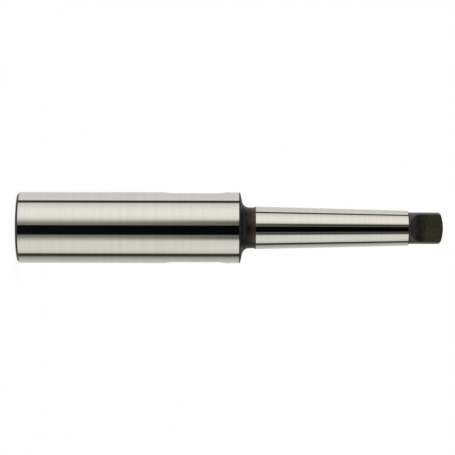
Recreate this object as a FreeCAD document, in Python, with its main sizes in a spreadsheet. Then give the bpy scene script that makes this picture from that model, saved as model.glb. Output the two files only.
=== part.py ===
import FreeCAD, Part
import math
import os

import Sketcher

# A drill extension socket with a number 2 Morse taper at both ends, turned, milled and ground
# from one bar. It stands on its socket face: +Z runs from that face to the tang, the drift slot
# goes through along X, and the tang's flats face +Y and -Y. Millimetres and degrees.
SIZES = {
    # the taper, the same inside and outside
    "gauge_diameter": 17.780,
    "taper_run": 20.020,  # the length over which the diameter changes by 1
    # the round body and the socket in it
    "body_diameter": 30.0,
    "face_chamfer": 1.0,
    "mouth_chamfer": 0.6,
    "socket_depth": 57.7,  # how far in the tapered wall goes
    "clearance_length": 10.3,  # the straight bore behind it
    "drill_point_angle": 118.0,
    # the slot for the drift that pushes a tool out
    "slot_overlap": 4.5,  # how far the slot reaches back beside the straight bore
    "slot_length": 23.0,
    "slot_clearance": 0.4,  # how much wider the slot is than a tang
    "slot_edge_break": 0.4,
    # the solid end of the body and the neck
    "end_wall": 7.4,
    "shoulder_slope": 12.0,
    "shoulder_edge_radius": 0.25,
    "neck_fillet": 3.0,
    "neck_undercut": 0.37,  # how far the neck lies below the shank's large end
    "shank_gap": 6.6,  # from the body's edge to the shank's large end
    "flare_length": 0.9,
    # the tapered shank
    "gauge_offset": 5.0,  # from its large end to the gauge diameter
    "shank_length": 64.1,
    "shank_chamfer": 0.5,
    # the tang
    "tang_step": 0.77,  # how far its round lies below the shank's small end
    "tang_length": 14.4,
    "tang_thickness": 6.3,
    "tang_flat_length": 8.8,
    "tang_runout_radius": 6.0,
    "tang_crown_radius": 18.0,
    "tang_corner_radius": 1.6,
    # the centre hole in its end
    "centre_diameter": 3.35,
    "centre_angle": 60.0,
    "pilot_diameter": 1.6,
    "pilot_length": 1.2,
}

# Radii and heights that follow from the sizes, as expressions
BODY_RADIUS = "dims.body_diameter / 2"
GAUGE_RADIUS = "dims.gauge_diameter / 2"
BORE_RADIUS = "(dims.gauge_diameter - dims.socket_depth / dims.taper_run) / 2"
LARGE_RADIUS = "(dims.gauge_diameter + dims.gauge_offset / dims.taper_run) / 2"
SMALL_RADIUS = f"({LARGE_RADIUS} - dims.shank_length / dims.taper_run / 2)"
NECK_RADIUS = f"({LARGE_RADIUS} - dims.neck_undercut)"
TANG_RADIUS = f"({SMALL_RADIUS} - dims.tang_step)"
CENTRE_RADIUS = "dims.centre_diameter / 2"
PILOT_RADIUS = "dims.pilot_diameter / 2"
SLOT_WIDTH = "(dims.tang_thickness + dims.slot_clearance)"
SLOT_START = "(dims.socket_depth + dims.clearance_length - dims.slot_overlap)"
BODY_END = f"({SLOT_START} + dims.slot_length + dims.end_wall)"
SHOULDER_RISE = f"({BODY_RADIUS} - {NECK_RADIUS}) * tan(dims.shoulder_slope)"
NECK_CORNER = f"({BODY_END} + {SHOULDER_RISE})"
TANG_START = f"({BODY_END} + dims.shank_gap + dims.shank_length + dims.shank_chamfer)"
TOP = f"({TANG_START} + dims.tang_length)"

ORIGIN = (-1, 1)  # a sketch's own centre, as an element and its point
UPRIGHT = -2  # a sketch's upright axis


def make_sheet(doc):
    """The driving dimensions, one row each: name, value."""
    sheet = doc.addObject("Spreadsheet::Sheet", "dims")
    for row, (alias, value) in enumerate(SIZES.items(), start=1):
        sheet.set(f"A{row}", alias)
        sheet.set(f"B{row}", str(value))
        sheet.setAlias(f"B{row}", alias)
    doc.recompute()


def origin_plane(body, role):
    """One of the body's own origin planes."""
    return next(plane for plane in body.Origin.OriginFeatures if plane.Role == role)


def new_sketch(body, name):
    """An empty sketch on the body's YZ plane: across is Y, up is Z."""
    sketch = body.newObject("Sketcher::SketchObject", name)
    sketch.AttachmentSupport = [(origin_plane(body, "YZ_Plane"), "")]
    sketch.MapMode = "FlatFace"
    return sketch


def tie(sketch, kind, *places):
    """A constraint with no size of its own."""
    sketch.addConstraint(Sketcher.Constraint(kind, *places))


def size(sketch, kind, places, expression):
    """A dimension bound to an expression."""
    value = sketch.evalExpression(expression)
    index = sketch.addConstraint(Sketcher.Constraint(kind, *places, value))
    sketch.setExpression(f"Constraints[{index}]", expression)


def line(sketch, start, end):
    """A straight line between two points, each (across, up)."""
    points = FreeCAD.Vector(*start), FreeCAD.Vector(*end)
    return sketch.addGeometry(Part.LineSegment(*points))


def arc(sketch, centre, radius, start, end):
    """An arc drawn counter-clockwise from one angle to another, in degrees."""
    circle = Part.Circle(FreeCAD.Vector(*centre), FreeCAD.Vector(0, 0, 1), radius)
    angles = math.radians(start), math.radians(end)
    return sketch.addGeometry(Part.ArcOfCircle(circle, *angles))


def draw_steps(sketch, joint, steps):
    """Straight lines of a turned profile, joined to a point that is already there.

    Each step is (radius, advance along the axis). A radius of None ends on the axis, and
    an advance of None stays level. Returns the last line's end, as an element and its point.
    """
    across, up, _ = sketch.getPoint(*joint)
    for radius, advance in steps:
        start = (across, up)
        across = sketch.evalExpression(radius) if radius else 0
        up += sketch.evalExpression(advance) if advance else 0
        new = line(sketch, start, (across, up))
        tie(sketch, "Coincident", *joint, new, 1)
        if radius:
            size(sketch, "DistanceX", (*ORIGIN, new, 2), radius)
        else:
            tie(sketch, "PointOnObject", new, 2, UPRIGHT)
        if advance:
            size(sketch, "DistanceY", (new, 1, new, 2), advance)
        else:
            tie(sketch, "Horizontal", new)
        joint = (new, 2)
    return joint


def draw_crowned_end(sketch, joint):
    """The round of the tang and the arc over its end, up to the rim of the centre hole."""
    radius, low, _ = sketch.getPoint(*joint)
    inner = sketch.evalExpression(CENTRE_RADIUS)
    crown = sketch.evalExpression("dims.tang_crown_radius")
    centre = sketch.evalExpression(TOP) - math.sqrt(crown**2 - inner**2)
    corner = (radius, centre + math.sqrt(crown**2 - radius**2))
    side = line(sketch, (radius, low), corner)
    angles = [math.degrees(math.acos(across / crown)) for across in (radius, inner)]
    end = arc(sketch, (0, centre), crown, *angles)
    tie(sketch, "Coincident", *joint, side, 1)
    tie(sketch, "Vertical", side)
    tie(sketch, "Coincident", side, 2, end, 1)
    tie(sketch, "PointOnObject", end, 3, UPRIGHT)
    size(sketch, "Radius", (end,), "dims.tang_crown_radius")
    size(sketch, "DistanceX", (*ORIGIN, end, 2), CENTRE_RADIUS)
    size(sketch, "DistanceY", (side, 1, end, 2), "dims.tang_length")
    return (end, 2)


def close_profile(sketch, joint):
    """The line down the axis from a profile's last point to the sketch's centre."""
    across, up, _ = sketch.getPoint(*joint)
    axis = line(sketch, (across, up), (0, 0))
    tie(sketch, "Coincident", *joint, axis, 1)
    tie(sketch, "Coincident", axis, 2, *ORIGIN)


def revolve(body, kind, name, sketch):
    """A PartDesign Revolution or Groove of a sketch about the body's axis."""
    feature = body.newObject(f"PartDesign::{kind}", name)
    feature.Profile = sketch
    feature.ReferenceAxis = (sketch, ["V_Axis"])
    body.Document.recompute()
    return feature


def turn_blank(body):
    """The outside as it is turned: body, neck, shank, tang, and the centre hole in its end."""
    sketch = new_sketch(body, "blank_profile")
    outside = [
        (BODY_RADIUS, None),
        (BODY_RADIUS, BODY_END),
        (NECK_RADIUS, SHOULDER_RISE),
        (NECK_RADIUS, f"dims.shank_gap - {SHOULDER_RISE} - dims.flare_length"),
        (LARGE_RADIUS, "dims.flare_length"),
        (SMALL_RADIUS, "dims.shank_length"),
        (TANG_RADIUS, "dims.shank_chamfer"),
    ]
    centre_hole = [
        (PILOT_RADIUS, f"({PILOT_RADIUS} - {CENTRE_RADIUS}) / tan(dims.centre_angle / 2)"),
        (PILOT_RADIUS, "-dims.pilot_length"),
        (None, f"-{PILOT_RADIUS} / tan(dims.drill_point_angle / 2)"),
    ]
    joint = draw_steps(sketch, ORIGIN, outside)
    joint = draw_crowned_end(sketch, joint)
    joint = draw_steps(sketch, joint, centre_hole)
    close_profile(sketch, joint)
    revolve(body, "Revolution", "blank", sketch)


def bore_socket(body):
    """The tapered socket, the straight bore behind it and the drill's point."""
    sketch = new_sketch(body, "socket_profile")
    inside = [
        (GAUGE_RADIUS, None),
        (BORE_RADIUS, "dims.socket_depth"),
        (BORE_RADIUS, "dims.clearance_length"),
        (None, f"{BORE_RADIUS} / tan(dims.drill_point_angle / 2)"),
    ]
    joint = draw_steps(sketch, ORIGIN, inside)
    close_profile(sketch, joint)
    return revolve(body, "Groove", "socket", sketch)


def mill_through(body, name, sketch):
    """A Pocket of a sketch right through the body, both ways along X."""
    cut = body.newObject("PartDesign::Pocket", name)
    cut.Profile = sketch
    cut.Type = "ThroughAll"
    cut.SideType = "Symmetric"
    body.Document.recompute()
    return cut


def mill_drift_slot(body):
    """The slot across the end of the socket, with full round ends."""
    sketch = new_sketch(body, "drift_slot_profile")
    half = sketch.evalExpression(SLOT_WIDTH) / 2
    low = sketch.evalExpression(SLOT_START) + half
    high = low + sketch.evalExpression("dims.slot_length") - 2 * half
    bottom = arc(sketch, (0, low), half, 180, 360)
    right = line(sketch, (half, low), (half, high))
    top = arc(sketch, (0, high), half, 0, 180)
    left = line(sketch, (-half, high), (-half, low))
    outline = [bottom, right, top, left]
    for before, after in zip(outline, outline[1:] + outline[:1]):
        tie(sketch, "Tangent", before, 2, after, 1)
    tie(sketch, "Vertical", right)
    tie(sketch, "PointOnObject", bottom, 3, UPRIGHT)
    tie(sketch, "PointOnObject", top, 3, UPRIGHT)
    size(sketch, "Diameter", (bottom,), SLOT_WIDTH)
    size(sketch, "DistanceY", (*ORIGIN, bottom, 3), f"{SLOT_START} + {SLOT_WIDTH} / 2")
    size(sketch, "DistanceY", (bottom, 3, top, 3), f"dims.slot_length - {SLOT_WIDTH}")
    return mill_through(body, "drift_slot", sketch)


def mill_tang(body):
    """A flat on each side of the tang, with the round run-out of the cutter."""
    sketch = new_sketch(body, "tang_flat_profile")
    near = sketch.evalExpression("dims.tang_thickness") / 2
    runout = sketch.evalExpression("dims.tang_runout_radius")
    top = sketch.evalExpression(TOP)
    low = top - sketch.evalExpression("dims.tang_flat_length")
    far = near + runout
    flat = line(sketch, (near, top), (near, low))
    bend = arc(sketch, (far, low), runout, 180, 270)
    outer = line(sketch, (far, low - runout), (far, top))
    over = line(sketch, (far, top), (near, top))
    tie(sketch, "Vertical", flat)
    tie(sketch, "Tangent", flat, 2, bend, 1)
    tie(sketch, "Coincident", bend, 2, outer, 1)
    tie(sketch, "Vertical", bend, 3, outer, 1)
    tie(sketch, "Vertical", outer)
    tie(sketch, "Coincident", outer, 2, over, 1)
    tie(sketch, "Coincident", over, 2, flat, 1)
    tie(sketch, "Horizontal", over)
    size(sketch, "DistanceX", (*ORIGIN, flat, 1), "dims.tang_thickness / 2")
    size(sketch, "DistanceY", (*ORIGIN, flat, 1), TOP)
    size(sketch, "DistanceY", (flat, 2, flat, 1), "dims.tang_flat_length")
    size(sketch, "Radius", (bend,), "dims.tang_runout_radius")
    one = mill_through(body, "tang_flat", sketch)
    both = body.newObject("PartDesign::Mirrored", "tang_flats")
    both.Originals = [one]
    both.MirrorPlane = (origin_plane(body, "XZ_Plane"), [""])
    body.Tip = both
    body.Document.recompute()
    return both


def cut_away(body, make_cut):
    """Makes a cut, and stops if it took nothing away."""
    before = body.Shape.Volume
    feature = make_cut(body)
    if not feature.Shape.Volume < before:
        raise RuntimeError(f"{feature.Name} removed nothing")


def rim(feature, radius, height):
    """The name of the round edge nearest to a radius and a height."""
    wanted_radius = feature.evalExpression(radius)
    wanted_height = feature.evalExpression(height)
    misses = {}
    for number, edge in enumerate(feature.Shape.Edges, start=1):
        if isinstance(edge.Curve, Part.Circle):
            away = abs(edge.Curve.Radius - wanted_radius)
            misses[f"Edge{number}"] = away + abs(edge.Curve.Center.z - wanted_height)
    return [min(misses, key=misses.get)]


def slot_rims(feature):
    """The names of the edges where the drift slot breaks out of the round body."""
    radius = feature.evalExpression(BODY_RADIUS)
    low = feature.evalExpression(SLOT_START)
    high = low + feature.evalExpression("dims.slot_length")
    names = []
    for number, edge in enumerate(feature.Shape.Edges, start=1):
        middle = edge.valueAt((edge.FirstParameter + edge.LastParameter) / 2)
        on_body = math.isclose(math.hypot(middle.x, middle.y), radius, abs_tol=0.001)
        if on_body and low < middle.z < high:
            names.append(f"Edge{number}")
    return names


def dress(body, kind, name, edges, expression):
    """A PartDesign Chamfer or Fillet on edges of the body as it stands."""
    base = body.Tip
    feature = body.newObject(f"PartDesign::{kind}", name)
    feature.Base = (base, edges)
    feature.setExpression("Radius" if kind == "Fillet" else "Size", expression)
    body.Document.recompute()


def dress_outside(body):
    """The face's chamfer, the shoulder's edge, the neck's fillet and the tang's corner."""
    rims = [
        ("Chamfer", "face_edge", BODY_RADIUS, "0", "dims.face_chamfer"),
        ("Fillet", "shoulder_edge", BODY_RADIUS, BODY_END, "dims.shoulder_edge_radius"),
        ("Fillet", "neck_corner", NECK_RADIUS, NECK_CORNER, "dims.neck_fillet"),
        ("Fillet", "tang_corner", TANG_RADIUS, TOP, "dims.tang_corner_radius"),
    ]
    for kind, name, radius, height, expression in rims:
        dress(body, kind, name, rim(body.Tip, radius, height), expression)


def make_extension_socket(doc):
    """The one piece, in the order in which it is made."""
    body = doc.addObject("PartDesign::Body", "extension_socket")
    body.Label = "extension_socket"
    turn_blank(body)
    dress_outside(body)
    cut_away(body, bore_socket)
    cut_away(body, mill_drift_slot)
    cut_away(body, mill_tang)
    dress(body, "Chamfer", "mouth_edge", rim(body.Tip, GAUGE_RADIUS, "0"), "dims.mouth_chamfer")
    dress(body, "Chamfer", "slot_edge", slot_rims(body.Tip), "dims.slot_edge_break")
    body.Placement = FreeCAD.Placement()
    return body


def check_document(doc):
    """Stops on a failed object, a loose sketch or a bad solid."""
    for item in doc.Objects:
        if "Invalid" in item.State or "Error" in item.State:
            raise RuntimeError(f"{item.Name} failed: {item.State}")
        if item.TypeId == "Sketcher::SketchObject" and not item.FullyConstrained:
            raise RuntimeError(f"{item.Name} is not fully constrained")
        if item.TypeId == "PartDesign::Body":
            if item.Shape.isNull() or not item.Shape.isValid():
                raise RuntimeError(f"{item.Name} has no valid shape")


def main():
    doc = FreeCAD.newDocument("extension_socket_model")
    make_sheet(doc)
    body = make_extension_socket(doc)
    doc.recompute()
    check_document(doc)
    os.makedirs("parts", exist_ok=True)
    body.Shape.exportStep(f"parts/{body.Label}.step")
    box = body.Shape.optimalBoundingBox()
    print(f"{body.Label}: {box.XLength:.3f} x {box.YLength:.3f} x {box.ZLength:.3f} mm")


main()
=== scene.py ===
"""Visual model of a one-piece drill extension socket, Morse taper No. 2 outside and inside.

The blank is turned ring by ring, then the drift slot and the tang flats are milled out of it.
Working faces are ground bright; neck, tang, slot and chamfers keep their dark hardening scale,
which painted shade turns black from the neck's corner down and where the tang's cutter ran out.
All lengths are millimetres until they reach Blender, which works in metres.
"""

import math

import bpy
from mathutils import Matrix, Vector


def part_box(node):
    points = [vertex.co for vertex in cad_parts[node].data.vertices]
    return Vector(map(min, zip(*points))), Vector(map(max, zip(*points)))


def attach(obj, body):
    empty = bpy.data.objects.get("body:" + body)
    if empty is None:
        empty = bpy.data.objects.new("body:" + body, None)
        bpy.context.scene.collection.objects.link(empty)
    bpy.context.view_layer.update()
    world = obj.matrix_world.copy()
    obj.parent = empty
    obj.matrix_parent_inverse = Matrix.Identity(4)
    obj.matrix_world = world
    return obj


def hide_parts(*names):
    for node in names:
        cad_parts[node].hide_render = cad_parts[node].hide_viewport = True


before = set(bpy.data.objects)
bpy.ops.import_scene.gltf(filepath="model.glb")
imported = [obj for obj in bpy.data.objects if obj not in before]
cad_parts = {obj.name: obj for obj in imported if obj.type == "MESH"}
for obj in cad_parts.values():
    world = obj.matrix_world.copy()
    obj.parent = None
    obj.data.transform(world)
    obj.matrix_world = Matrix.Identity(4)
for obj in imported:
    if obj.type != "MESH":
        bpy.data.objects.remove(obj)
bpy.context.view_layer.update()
SOCKET_LOW, SOCKET_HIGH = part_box("extension_socket")

MM = 0.001

# Outside of the blank, from the socket face up to the end of the tang.
BODY_RADIUS = SOCKET_HIGH.x / MM
TOP = SOCKET_HIGH.z / MM
FACE_CHAMFER = 1.0
SHOULDER_ROUND = 0.6
SHOULDER_SLOPE = 12.0
BODY_END = 93.9
SHOULDER_GROUND_END = 93.4
NECK_RADIUS = 8.645
NECK_FILLET = 3.0
NECK_CORNER = 97.68
FLARE_START = 99.6
SHANK_START = 100.5
SHANK_END = 164.6
SHANK_LARGE_RADIUS = 9.015
SHANK_SMALL_RADIUS = 7.414
TANG_START = 165.1
TANG_RADIUS = 6.644
TANG_HALF_THICKNESS = 3.15
TANG_FLAT_START = 170.7
TANG_RUNOUT = 6.0
TANG_CORNER = 1.6
TANG_CROWN = 18.0
# A ring round the tang this far above its start, and the block that takes its flats off.
TANG_RING = 2.0
TANG_BLOCK_ABOVE, TANG_BLOCK_DEPTH, TANG_BLOCK_WIDTH = 5.0, 8.0, 20.0

# Centre hole in the end of the tang.
CENTRE_RADIUS = 1.675
PILOT_RADIUS = 0.8
PILOT_TOP = 177.984
PILOT_BOTTOM = 176.784
PILOT_TIP = 176.304

# Socket, from its mouth up to the drill point.
MOUTH_RADIUS = 9.49
MOUTH_CHAMFER = 0.6
GAUGE_RADIUS = 8.875
SOCKET_END = 57.7
BORE_RADIUS = 7.449
BORE_END = 68.0
DRILL_TIP = 72.476

# Drift slot through the body.
SLOT_START = 63.5
SLOT_LENGTH = 23.0
SLOT_WIDTH = 6.7
SLOT_EDGE = 0.4
# Where the slot cutter's two rings stand along X before they are laid on the body's round.
RING_PLACES = {"inner_ring": 12.0, "outer_ring": 18.0}
CUTTER_TAIL = 4.0
GUIDE_FACETS = 720
GUIDE_LOW, GUIDE_HIGH = -25.0, 175.0

FACETS = 256
SLOT_FACETS = 50
RUNOUT_FACETS = 24
# Distance of a supporting ring from its edge.
SUPPORT = 0.12
# Points closer than MERGE become one; a place within NEAR of another counts as the same place.
MERGE = 0.0005
NEAR = 0.01
SMOOTH_ANGLE = math.radians(30)


# ---------------------------------------------------------------- modelling


def only(thing):
    """Selects one object and makes it the active one."""
    bpy.ops.object.select_all(action="DESELECT")
    thing.select_set(True)
    bpy.context.view_layer.objects.active = thing


def edit(thing, mode):
    """Opens one object in edit mode with nothing selected."""
    only(thing)
    bpy.ops.object.mode_set(mode="EDIT")
    bpy.ops.mesh.select_mode(type=mode)
    bpy.ops.mesh.select_all(action="DESELECT")


def leave_edit():
    """Back to object mode."""
    bpy.ops.object.mode_set(mode="OBJECT")


def pick(thing, wanted):
    """Selects the vertices whose place, in millimetres, answers the question wanted."""
    mode = bpy.context.mode
    if mode == "EDIT_MESH":
        bpy.ops.object.mode_set(mode="OBJECT")
    for vertex in thing.data.vertices:
        vertex.select = bool(wanted(*(vertex.co / MM)))
    if mode == "EDIT_MESH":
        bpy.ops.object.mode_set(mode="EDIT")


def settle(thing):
    """Moves an object's own place and turn into its mesh."""
    only(thing)
    bpy.ops.object.transform_apply(location=True, rotation=True, scale=True)


def finish_with(thing, kind, **settings):
    """Adds a modifier and applies it at once."""
    only(thing)
    bpy.ops.object.modifier_add(type=kind)
    modifier = thing.modifiers[-1]
    for name, value in settings.items():
        setattr(modifier, name, value)
    bpy.ops.object.modifier_apply(modifier=modifier.name)


def drop(thing):
    """Deletes a cutter or a helper that has done its work."""
    only(thing)
    bpy.ops.object.delete()


def arc(centre, radius, start, end, steps):
    """Points (radius, height) of a fillet or crown in the turned profile; angles in degrees."""
    turn = [math.radians(start + (end - start) * i / steps) for i in range(steps + 1)]
    return [
        (centre[0] + radius * math.cos(a), centre[1] + radius * math.sin(a)) for a in turn
    ]


def supported(first, last):
    """Both ends of a long turned face, each with a ring close beside it to hold the shading."""
    length = math.dist(first, last)
    step = SUPPORT / length
    near = [first[i] + (last[i] - first[i]) * step for i in (0, 1)]
    far = [last[i] - (last[i] - first[i]) * step for i in (0, 1)]
    return [first, tuple(near), tuple(far), last]


def tang_end_profile():
    """Pilot hole, centre cone, crowned end and rounded corner of the tang."""
    crown_centre = (0.0, TOP - math.sqrt(TANG_CROWN**2 - CENTRE_RADIUS**2))
    corner_centre = (TANG_RADIUS - TANG_CORNER, 0.0)
    reach = TANG_CROWN - TANG_CORNER
    lean = math.degrees(math.acos(corner_centre[0] / reach))
    corner_centre = (
        corner_centre[0],
        crown_centre[1] + reach * math.sin(math.radians(lean)),
    )
    crown_start = math.degrees(math.acos(CENTRE_RADIUS / TANG_CROWN))
    return (
        [(PILOT_RADIUS, PILOT_BOTTOM), (PILOT_RADIUS, PILOT_TOP)]
        + arc(crown_centre, TANG_CROWN, crown_start, lean, 6)
        + arc(corner_centre, TANG_CORNER, lean, 0, 8)[1:]
    )


def outside_profile():
    """From the tang's round down over shank, neck and shoulder to the face chamfer."""
    fillet_centre = (NECK_RADIUS + NECK_FILLET, NECK_CORNER)
    fillet = arc(fillet_centre, NECK_FILLET, 180, 270 - SHOULDER_SLOPE, 16)
    tangent = SHOULDER_ROUND * math.tan(math.radians(90 - SHOULDER_SLOPE) / 2)
    round_centre = (BODY_RADIUS - SHOULDER_ROUND, BODY_END - tangent)
    shoulder_round = arc(round_centre, SHOULDER_ROUND, 90 - SHOULDER_SLOPE, 0, 6)
    return (
        supported((TANG_RADIUS, TANG_START + TANG_RING), (TANG_RADIUS, TANG_START))
        + supported((SHANK_SMALL_RADIUS, SHANK_END), (SHANK_LARGE_RADIUS, SHANK_START))
        + supported((NECK_RADIUS, FLARE_START), fillet[0])
        + fillet[1:-1]
        + supported(fillet[-1], shoulder_round[0])
        + shoulder_round[1:-1]
        + supported(shoulder_round[-1], (BODY_RADIUS, FACE_CHAMFER))
    )


def socket_profile():
    """From the face ring up the taper and the clearance bore to the drill point."""
    return (
        supported((BODY_RADIUS - FACE_CHAMFER, 0.0), (MOUTH_RADIUS, 0.0))
        + supported((GAUGE_RADIUS, MOUTH_CHAMFER), (BORE_RADIUS, SOCKET_END))
        + supported((BORE_RADIUS, SOCKET_END), (BORE_RADIUS, BORE_END))[1:]
    )


def draw_ring(radius, height, last_radius, last_height):
    """Extrudes the selected ring along the axis and sizes it for the next station."""
    rise = (0, 0, (height - last_height) * MM)
    bpy.ops.mesh.extrude_edges_move(TRANSFORM_OT_translate={"value": rise})
    grow = radius / last_radius
    bpy.ops.transform.resize(value=(grow, grow, 1), center_override=(0, 0, 0))


def close_tip(last_height, tip_height):
    """Extrudes the selected ring once more and merges it on the axis."""
    rise = (0, 0, (tip_height - last_height) * MM)
    bpy.ops.mesh.extrude_edges_move(TRANSFORM_OT_translate={"value": rise})
    bpy.ops.mesh.merge(type="CENTER")


def turn_blank():
    """The turned blank: a ring drawn through every station of the profile, closed at both tips."""
    stations = tang_end_profile() + outside_profile() + socket_profile()
    radius, height = stations[0]
    bpy.ops.mesh.primitive_circle_add(
        vertices=FACETS, radius=radius * MM, location=(0, 0, height * MM)
    )
    blank = bpy.context.object
    blank.name = "turned_socket"
    settle(blank)
    edit(blank, "VERT")
    bpy.ops.mesh.select_all(action="SELECT")
    for station in stations[1:]:
        draw_ring(*station, radius, height)
        radius, height = station
    close_tip(height, DRILL_TIP)
    first_height = stations[0][1]
    pick(blank, lambda x, y, z: abs(z - first_height) < NEAR)
    close_tip(first_height, PILOT_TIP)
    bpy.ops.mesh.select_all(action="SELECT")
    bpy.ops.mesh.remove_doubles(threshold=MERGE * MM)
    bpy.ops.mesh.normals_make_consistent(inside=False)
    leave_edit()
    return blank


def guide_cylinder(radius):
    """A plain cylinder that a ring of the slot cutter is laid onto."""
    middle = (GUIDE_LOW + GUIDE_HIGH) / 2 * MM
    bpy.ops.mesh.primitive_cylinder_add(
        vertices=GUIDE_FACETS,
        radius=radius * MM,
        depth=(GUIDE_HIGH - GUIDE_LOW) * MM,
        location=(0, 0, middle),
    )
    return bpy.context.object


def lay_on(cutter, ring, guide):
    """Slides one ring of the cutter along X until it lies on the guide."""
    cutter.vertex_groups.new(name=ring)
    edit(cutter, "VERT")
    pick(cutter, lambda x, y, z: abs(x - RING_PLACES[ring]) < NEAR)
    cutter.vertex_groups.active = cutter.vertex_groups[ring]
    bpy.ops.object.vertex_group_assign()
    leave_edit()
    finish_with(
        cutter,
        "SHRINKWRAP",
        target=guide,
        wrap_method="PROJECT",
        use_project_x=True,
        use_positive_direction=True,
        use_negative_direction=True,
        vertex_group=ring,
    )
    drop(guide)


def slot_cutter():
    """The drift slot's milling path, opening out where it leaves the body to break the edges."""
    half = SLOT_WIDTH / 2
    bpy.ops.mesh.primitive_circle_add(
        vertices=SLOT_FACETS,
        radius=half / math.cos(math.pi / SLOT_FACETS) * MM,
        location=(0, 0, (SLOT_START + half) * MM),
        rotation=(math.pi / 2, 0, math.pi / 2),
    )
    cutter = bpy.context.object
    settle(cutter)
    edit(cutter, "VERT")
    pick(cutter, lambda x, y, z: z > SLOT_START + half)
    stretch = (0, 0, (SLOT_LENGTH - SLOT_WIDTH) * MM)
    bpy.ops.transform.translate(value=stretch)
    bpy.ops.mesh.select_all(action="SELECT")
    reach = (RING_PLACES["inner_ring"] * MM, 0, 0)
    bpy.ops.mesh.extrude_edges_move(TRANSFORM_OT_translate={"value": reach})
    flare = ((RING_PLACES["outer_ring"] - RING_PLACES["inner_ring"]) * MM, 0, 0)
    bpy.ops.mesh.extrude_edges_move(TRANSFORM_OT_translate={"value": flare})
    open_out_ends(cutter)
    tail = (CUTTER_TAIL * MM, 0, 0)
    bpy.ops.mesh.extrude_edges_move(TRANSFORM_OT_translate={"value": tail})
    bpy.ops.mesh.edge_face_add()
    leave_edit()
    lay_on(cutter, "inner_ring", guide_cylinder(BODY_RADIUS - SLOT_EDGE))
    lay_on(cutter, "outer_ring", guide_cylinder(BODY_RADIUS + SLOT_EDGE))
    finish_with(cutter, "MIRROR", merge_threshold=MERGE * MM)
    edit(cutter, "FACE")
    bpy.ops.mesh.select_all(action="SELECT")
    bpy.ops.mesh.normals_make_consistent(inside=False)
    leave_edit()
    return cutter


def open_out_ends(cutter):
    """Offsets the selected ring of the slot by twice the edge break all round."""
    half, middle = SLOT_WIDTH / 2, SLOT_START + SLOT_LENGTH / 2
    grow = (half + 2 * SLOT_EDGE) / half
    bpy.ops.transform.resize(value=(1, grow, grow), center_override=(0, 0, middle * MM))
    straight = (SLOT_LENGTH - SLOT_WIDTH) / 2
    back = straight * (grow - 1) * MM
    outer = RING_PLACES["outer_ring"]
    for side in (1, -1):
        pick(cutter, lambda x, y, z: abs(x - outer) < NEAR and (z - middle) * side > 0)
        bpy.ops.transform.translate(value=(0, 0, -side * back))
    pick(cutter, lambda x, y, z: abs(x - outer) < NEAR)


def tang_cutter():
    """Takes both tang flats, with the run-out radius of the milling cutter at their foot."""
    low = TANG_FLAT_START - TANG_RUNOUT
    high = TOP + TANG_BLOCK_ABOVE
    middle = (low + high) / 2
    outward = TANG_HALF_THICKNESS + TANG_BLOCK_DEPTH / 2
    bpy.ops.mesh.primitive_cube_add(
        size=1,
        location=(0, outward * MM, middle * MM),
        scale=(TANG_BLOCK_WIDTH * MM, TANG_BLOCK_DEPTH * MM, (high - low) * MM),
    )
    cutter = bpy.context.object
    settle(cutter)
    edit(cutter, "VERT")
    pick(cutter, lambda x, y, z: y < TANG_HALF_THICKNESS + NEAR and z < low + NEAR)
    bpy.ops.mesh.bevel(offset=TANG_RUNOUT * MM, segments=RUNOUT_FACETS)
    leave_edit()
    finish_with(
        cutter, "MIRROR", use_axis=(False, True, False), merge_threshold=MERGE * MM
    )
    return cutter


def cut(piece, cutter):
    """Cuts the cutter out of the piece and throws it away."""
    finish_with(piece, "BOOLEAN", object=cutter, operation="DIFFERENCE", solver="EXACT")
    drop(cutter)


def make_socket():
    """The whole one-piece tool, turned, slotted, milled and shaded."""
    piece = turn_blank()
    cut(piece, slot_cutter())
    cut(piece, tang_cutter())
    edit(piece, "VERT")
    bpy.ops.mesh.select_all(action="SELECT")
    bpy.ops.mesh.remove_doubles(threshold=MERGE * MM)
    leave_edit()
    only(piece)
    bpy.ops.object.shade_smooth_by_angle(angle=SMOOTH_ANGLE)
    return piece


# ---------------------------------------------------------------- materials


class Shade:
    """A socket of a material's nodes, so that shading is written as plain sums."""

    def __init__(self, tree, socket=None):
        self.tree = tree
        self.socket = socket

    def node(self, kind, settings=None, inputs=None, output=0):
        """Adds a node: its settings first, then the value or link of each socket."""
        added = self.tree.nodes.new(kind)
        for name, value in (settings or {}).items():
            if name == "stops":
                set_stops(added.color_ramp, value)
            else:
                setattr(added, name, value)
        for name, value in (inputs or {}).items():
            socket = added.inputs[name]
            if isinstance(value, Shade):
                self.tree.links.new(value.socket, socket)
            else:
                socket.default_value = value
        return Shade(self.tree, added.outputs[output] if added.outputs else None)

    def math(self, operation, *others, swap=False):
        """A Math node on this value and up to two more."""
        terms = [self, *others]
        if swap:
            terms.reverse()
        return self.node("ShaderNodeMath", {"operation": operation}, dict(enumerate(terms)))

    def __add__(self, other):
        return self.math("ADD", other)

    __radd__ = __add__

    def __sub__(self, other):
        return self.math("SUBTRACT", other)

    def __rsub__(self, other):
        return self.math("SUBTRACT", other, swap=True)

    def __mul__(self, other):
        return self.math("MULTIPLY", other)

    __rmul__ = __mul__

    def __truediv__(self, other):
        return self.math("DIVIDE", other)

    def span(self, low, high, to_low=0.0, to_high=1.0):
        """Maps low..high onto to_low..to_high, held at both ends, with soft shoulders."""
        return self.node(
            "ShaderNodeMapRange",
            {"interpolation_type": "SMOOTHSTEP"},
            {0: self, 1: low, 2: high, 3: to_low, 4: to_high},
        )


def set_stops(ramp, stops):
    """Gives a colour ramp its stops, each a place and a colour."""
    while len(ramp.elements) < len(stops):
        ramp.elements.new(1.0)
    for element, (place, colour) in zip(ramp.elements, stops):
        element.position = place
        element.color = (*colour, 1.0)


def new_material(name):
    """An empty material with its output node, and a Shade to build on."""
    material = bpy.data.materials.new(name)
    material.use_nodes = True
    material.node_tree.nodes.clear()
    return material, Shade(material.node_tree)


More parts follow.
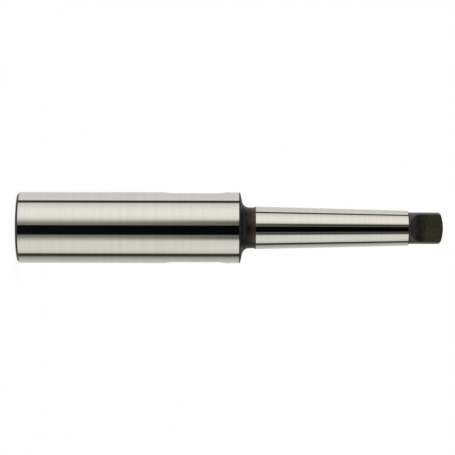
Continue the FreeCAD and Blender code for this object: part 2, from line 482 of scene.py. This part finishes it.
def place(shade):
    """Object coordinates as a vector, in metres."""
    return shade.node("ShaderNodeTexCoord", output="Object")


def axes(vector):
    """The x, y and z of a vector."""
    split = {0: vector}
    return [vector.node("ShaderNodeSeparateXYZ", inputs=split, output=i) for i in range(3)]


def noise(vector, stretch, detail=3.0, roughness=0.5):
    """Noise whose grain is stretched by its own number along each axis."""
    laid = vector.node("ShaderNodeMapping", inputs={"Vector": vector, "Scale": stretch})
    return laid.node(
        "ShaderNodeTexNoise",
        inputs={"Vector": laid, "Scale": 1.0, "Detail": detail, "Roughness": roughness},
        output="Fac",
    )


def blend(mask, first, second):
    """From the first colour to the second as the mask goes from 0 to 1."""
    return mask.node(
        "ShaderNodeMix",
        {"data_type": "RGBA"},
        {0: mask, 6: colour(first), 7: colour(second)},
        output=2,
    )


def colour(value):
    """A colour as a socket takes it."""
    return value if isinstance(value, Shade) else (*value, 1.0)


def surface(shade, colour_in, roughness, metallic, height=None, depth=0.0):
    """The finished surface, with its relief in metres."""
    inputs = {"Base Color": colour_in, "Roughness": roughness, "Metallic": metallic}
    if height is not None:
        inputs["Normal"] = shade.node(
            "ShaderNodeBump", inputs={"Height": height, "Distance": depth, "Strength": 1.0}
        )
    shader = shade.node("ShaderNodeBsdfPrincipled", inputs=inputs)
    shade.node("ShaderNodeOutputMaterial", inputs={"Surface": shader})


def ground_steel():
    """Hardened steel, ground round: bright, with fine marks that run round the axis."""
    material, shade = new_material("ground_steel")
    vector = place(shade)
    fine = noise(vector, (110, 110, 9000), detail=2.0)
    broad = noise(vector, (35, 35, 700), detail=3.0)
    cloud = noise(vector, (90, 90, 60), detail=2.0)
    steel = blend(broad.span(0.3, 0.7), (0.593, 0.588, 0.566), (0.62, 0.615, 0.592))
    height = fine * 0.6 + broad * 0.4
    surface(shade, steel, 0.05 + cloud * 0.04, 1.0, height, 0.2e-6)
    return material


def hardening_scale_and_shade():
    """Scale left by hardening: red-brown beside the shank, painted near black as shade from the
    corner of the neck down.
    """
    material, shade = new_material("hardening_scale_and_shade")
    vector = place(shade)
    _, _, height = axes(vector)
    speckle = noise(vector, (1100, 1100, 1100), detail=4.0, roughness=0.6)
    rings = noise(vector, (60, 60, 3500), detail=2.0)
    rust = noise(vector, (260, 260, 260), detail=3.0)
    # Painted shade: this near-black stands for the shade in the neck's corner and on the scale
    # faces below it, slot and chamfers too.
    painted_shade_black = blend(speckle.span(0.35, 0.7), (0.008, 0.009, 0.009), (0.028, 0.026, 0.025))
    brown = blend(speckle.span(0.32, 0.7), (0.03, 0.022, 0.019), (0.105, 0.078, 0.068))
    wander = (rust - 0.5) * 0.0022
    # The painted shade gives way to the red-brown scale past the neck's corner.
    past_corner_shade = (height + wander).span(NECK_CORNER * MM, (FLARE_START + 0.5) * MM)
    scale = blend(past_corner_shade, painted_shade_black, brown)
    relief = speckle * 0.7 + rings * 0.3
    surface(shade, scale, 0.34 + speckle * 0.2, 0.5, relief, 7e-6)
    return material


def tang_scale_shade_and_sheen():
    """Olive-brown scale on the tang, painted black as shade where the cutter ran out, with a
    painted sheen along its round edges.
    """
    material, shade = new_material("tang_scale_shade_and_sheen")
    vector = place(shade)
    x, y, height = axes(vector)
    speckle = noise(vector, (1000, 1000, 1000), detail=4.0, roughness=0.6)
    cloud = noise(vector, (260, 260, 260), detail=3.0)
    olive = blend(speckle.span(0.3, 0.72), (0.036, 0.033, 0.018), (0.085, 0.079, 0.048))
    patchy = blend(cloud.span(0.4, 0.75), olive, (0.072, 0.064, 0.037))
    # Painted shade: this near-black stands for the shade in the cutter's run-out at the foot of
    # the flats.
    painted_shade_black = blend(speckle.span(0.3, 0.72), (0.009, 0.009, 0.009), (0.03, 0.028, 0.024))
    wander = (cloud - 0.5) * 0.003
    # The painted run-out shade gives way to the olive-brown scale a little past the start of the
    # flats.
    past_runout_shade = (height + wander).span((TANG_FLAT_START - 2) * MM, (TANG_FLAT_START + 3) * MM)
    flat = blend(past_runout_shade, painted_shade_black, patchy)
    across = (x * x + y * y).math("SQRT")
    # Painted sheen: the tang's round edges are made lighter, in patches set by the speckle.
    rim = across.span((TANG_RADIUS - 0.35) * MM, (TANG_RADIUS - 0.02) * MM)
    painted_rim_sheen = rim * speckle.span(0.3, 0.6, 0.35, 1.0)
    tang = blend(painted_rim_sheen, flat, (0.11, 0.108, 0.09))
    surface(shade, tang, 0.38 + speckle * 0.2, 0.45, speckle, 7e-6)
    return material


def reamed_steel():
    """Socket wall and face: turned and reamed, duller than the ground outside."""
    material, shade = new_material("reamed_steel")
    vector = place(shade)
    rings = noise(vector, (50, 50, 2600), detail=3.0)
    film = noise(vector, (120, 120, 60), detail=3.0)
    steel = blend(film.span(0.35, 0.7), (0.46, 0.45, 0.43), (0.56, 0.55, 0.53))
    surface(shade, steel, 0.22 + rings * 0.16, 1.0, rings, 3e-6)
    return material


GROUND, SCALE, TANG, REAMED = range(4)
# How squarely a face looks away from the axis: below the first it is no longer the ground round,
# and below the second it looks inward.
ROUND_FACING, INWARD_FACING = 0.98, -0.1
# How far a finish reaches past the slot along and across the tool, short of the shank's start,
# and past the end of the socket's taper.
SLOT_ROOM, SLOT_SIDE_ROOM, FLARE_ROOM, TAPER_ROOM = 1.0, 0.5, 0.3, 0.02


def finish_of(centre, normal):
    """Which finish a face has, from its place and the way it looks, in millimetres."""
    x, y, z = centre / MM
    radius = math.hypot(x, y)
    outward = (normal.x * x + normal.y * y) / max(radius, MERGE)
    if z > TANG_START - NEAR:
        return TANG
    along = SLOT_START - SLOT_ROOM < z < SLOT_START + SLOT_LENGTH + SLOT_ROOM
    across = abs(y) < SLOT_WIDTH / 2 + SLOT_SIDE_ROOM
    if along and across and outward < ROUND_FACING:
        return SCALE
    if outward < INWARD_FACING or z < NEAR:
        return REAMED if z < SOCKET_END + TAPER_ROOM else SCALE
    if z < FACE_CHAMFER:
        return SCALE
    if SHOULDER_GROUND_END < z < SHANK_START - FLARE_ROOM or z > SHANK_END:
        return SCALE
    return GROUND


def dress(piece):
    """Gives the piece its four finishes and sorts its faces among them."""
    for make in (ground_steel, hardening_scale_and_shade, tang_scale_shade_and_sheen, reamed_steel):
        piece.data.materials.append(make())
    for face in piece.data.polygons:
        face.material_index = finish_of(face.center, face.normal)


# ---------------------------------------------------------------- studio

# The cloth comes in three tints, and the slit that the lens looks through is nearly black.
PANEL = (1.0, 0.98, 0.9)
SHADE = (1.0, 0.98, 0.85)
SIDE = (1.0, 1.0, 0.97)
SLIT = (0.6, 1.0, 1.0)
SLIT_START, SLIT_END = -23.5, 7.5
# The tent's cloths in order round the tool. Each has its tint, where it starts and ends, by the
# angle from the camera in degrees, positive towards -X, and its brightness there.
CLOTHS = [
    (SIDE, -180, -170, 0.3, 0.8),
    (SIDE, -130, -114, 0.7, 0.5),
    (SHADE, -104, -93, 0.05, 0.05),
    (PANEL, -92, -75, 0.8, 1.05),
    (PANEL, -60, -46, 1.05, 1.0),
    (SHADE, -31, -24, 0.35, 0.25),
    (SLIT, SLIT_START, SLIT_END, 0.005, 0.005),
    (SHADE, 8, 14, 0.3, 0.3),
    (PANEL, 30, 40, 1.1, 1.25),
    (PANEL, 60, 86, 1.25, 0.9),
    (SHADE, 88, 98, 0.05, 0.05),
    (SIDE, 100, 170, 1.0, 0.8),
    (SIDE, 180, 180, 0.3, 0.3),
]
# Higher up each panel hangs in a fold beside the slit: where the fold starts and ends and how
# dark it is, then how dark the cloth is from there to the slit. It rounds off over FOLD_EDGE.
FOLDS = [(-36, -31, 0.12, 0.6), (21, 16, 0.12, 0.5)]
FOLD_EDGE = 5.0
# Between which heights, in metres, the folds deepen and the whole cloth darkens to DIM.
FOLD_LOW, FOLD_HIGH = -0.10, 0.27
DIM_LOW, DIM_HIGH, DIM = 0.55, 1.3, 0.18
TENT_RADIUS = 1.5
TENT_HEIGHT = 5.2
FLOOR_RADIUS = 0.16
FLOOR_GLOW = 0.82
FLOOR_DROP = 0.0002


def cloth_stops():
    """The colours of the cloths as places and colours round the tent."""
    stops = []
    for tint, start, end, first, last in CLOTHS:
        for angle, level in ((start, first), (end, last)):
            stops.append((angle, tuple(level * part for part in tint)))
    return stops


def fold_stops():
    """How much of its light each part of the cloth keeps where the folds are deepest."""
    levels = []
    for outer, inner, fold, ledge in FOLDS:
        away = math.copysign(FOLD_EDGE, outer)
        slit = SLIT_START if outer < 0 else SLIT_END
        levels += [(outer + away, 1.0), (outer, fold), (inner, fold)]
        levels += [(inner - away, ledge), (slit, ledge)]
    return [(angle, (level,) * 3) for angle, level in sorted(levels)]


def round_the_tool(around, stops):
    """A colour that follows the stops, placed by their angle in degrees, round the tool."""
    placed = [((angle + 180) / 360, tone) for angle, tone in stops]
    return around.node("ShaderNodeValToRGB", {"stops": placed}, {"Fac": around})


def shaded(mask, light, darkening):
    """The light, times the darkening as far as the mask says."""
    return mask.node(
        "ShaderNodeMix",
        {"data_type": "RGBA", "blend_type": "MULTIPLY"},
        {0: mask, 6: light, 7: colour(darkening)},
        output=2,
    )


def tent_cloth():
    """Glow of the tent: its cloths and their folds, dimmer towards the top."""
    material, shade = new_material("tent_cloth")
    x, y, height = axes(place(shade))
    around = (x * -1.0).math("ARCTAN2", y * -1.0) / math.tau + 0.5
    cloths = round_the_tool(around, cloth_stops())
    folds = round_the_tool(around, fold_stops())
    folded = shaded(height.span(FOLD_LOW, FOLD_HIGH), cloths, folds)
    glow = shaded(height.span(DIM_LOW, DIM_HIGH), folded, (DIM, DIM, DIM))
    lit = shade.node("ShaderNodeEmission", inputs={"Color": glow, "Strength": 1.0})
    shade.node("ShaderNodeOutputMaterial", inputs={"Surface": lit})
    return material


def light_tent():
    """A tall round tent of lit cloth, hidden from the camera that stands inside it."""
    bpy.ops.mesh.primitive_cylinder_add(
        vertices=128, radius=TENT_RADIUS, depth=TENT_HEIGHT, end_fill_type="NOTHING"
    )
    tent = bpy.context.object
    tent.name = "light_tent"
    tent.data.materials.append(tent_cloth())
    tent.visible_camera = False
    tent.visible_shadow = False


def seen_directly(shade):
    """1 for what the camera, a reflection or a refraction sees, 0 for light that spreads."""
    camera = shade.node("ShaderNodeLightPath", output="Is Camera Ray")
    glossy = shade.node("ShaderNodeLightPath", output="Is Glossy Ray")
    through = shade.node("ShaderNodeLightPath", output="Is Transmission Ray")
    return (camera + glossy + through).math("MINIMUM", 1.0)


def backdrop():
    """White all round for the camera and for reflections, at a plain level for spread light."""
    world = bpy.data.worlds.new("white_room")
    bpy.context.scene.world = world
    world.use_nodes = True
    world.node_tree.nodes.clear()
    shade = Shade(world.node_tree)
    strength = 0.85 + 0.15 * seen_directly(shade)
    white = shade.node(
        "ShaderNodeBackground", inputs={"Color": (1, 1, 1, 1), "Strength": strength}
    )
    shade.node("ShaderNodeOutputWorld", inputs={"Surface": white})


def floor_paint():
    """Pale floor that takes the tool's shadow and thins out into the white room."""
    material, shade = new_material("pale_floor")
    x, y, _ = axes(place(shade))
    distance = (x * x + y * y).math("SQRT")
    paint = shade.node("ShaderNodeBsdfDiffuse", inputs={"Color": (0.45, 0.45, 0.45, 1)})
    glow = shade.node(
        "ShaderNodeEmission", inputs={"Color": (1, 1, 1, 1), "Strength": FLOOR_GLOW}
    )
    both = shade.node("ShaderNodeAddShader", inputs={0: paint, 1: glow})
    clear = shade.node("ShaderNodeBsdfTransparent")
    fade = distance.span(0.3 * FLOOR_RADIUS, 0.95 * FLOOR_RADIUS)
    mirrored = shade.node("ShaderNodeLightPath", output="Is Glossy Ray")
    underside = shade.node("ShaderNodeNewGeometry", output="Backfacing")
    open_part = fade.math("MAXIMUM", mirrored).math("MAXIMUM", underside)
    mixed = shade.node("ShaderNodeMixShader", inputs={0: open_part, 1: both, 2: clear})
    shade.node("ShaderNodeOutputMaterial", inputs={"Surface": mixed})
    return material


def floor():
    """A round of pale floor under the tool."""
    bpy.ops.mesh.primitive_circle_add(
        vertices=96, radius=FLOOR_RADIUS, fill_type="NGON", location=(0, 0, -FLOOR_DROP)
    )
    pale = bpy.context.object
    pale.name = "pale_floor"
    pale.data.materials.append(floor_paint())


CAMERA_PLACE = (-0.00013, -0.930, 0.08857)
CAMERA_ROLL = -0.12
LENS = 174.05


def camera():
    """Level with the tool's middle and rolled, so that the tool lies across the frame."""
    turn = (math.radians(90), math.radians(-90 + CAMERA_ROLL), 0)
    bpy.ops.object.camera_add(location=CAMERA_PLACE, rotation=turn)
    view = bpy.context.object
    view.data.lens = LENS
    view.data.sensor_width = 36.0
    bpy.context.scene.camera = view


def main():
    socket = make_socket()
    dress(socket)
    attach(socket, "root")
    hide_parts("extension_socket")
    floor()
    light_tent()
    backdrop()
    camera()
    bpy.context.scene.view_settings.view_transform = "Standard"


main()
